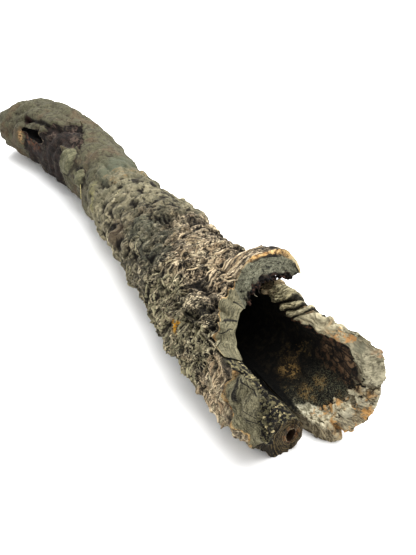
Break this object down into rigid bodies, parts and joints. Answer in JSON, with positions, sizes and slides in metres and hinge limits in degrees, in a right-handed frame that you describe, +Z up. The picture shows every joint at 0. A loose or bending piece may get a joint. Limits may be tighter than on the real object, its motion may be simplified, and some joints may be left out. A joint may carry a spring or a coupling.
{
  "type": "cork bark tube",
  "caption": "Hollow tube of rough cork oak bark lying on its side, with a ragged open mouth split by slits, a hooked flap, an inrolled edge and a bent, narrower open far end.",
  "frame": {"origin": "on the ground the tube lies on, under the middle of its bounding box", "axes": "+Y along the tube from its broken mouth towards its bent far end, +Z up, +X to the right as seen looking in at the mouth"},
  "size_m": [0.1176, 0.578, 0.101],
  "materials": {
    "cork_bark": "rough weathered cork bark, matte, grey-brown"
  },
  "bodies": {
    "root": {"cork_bark_tube": "cork_bark"}
  },
  "joints": []
}
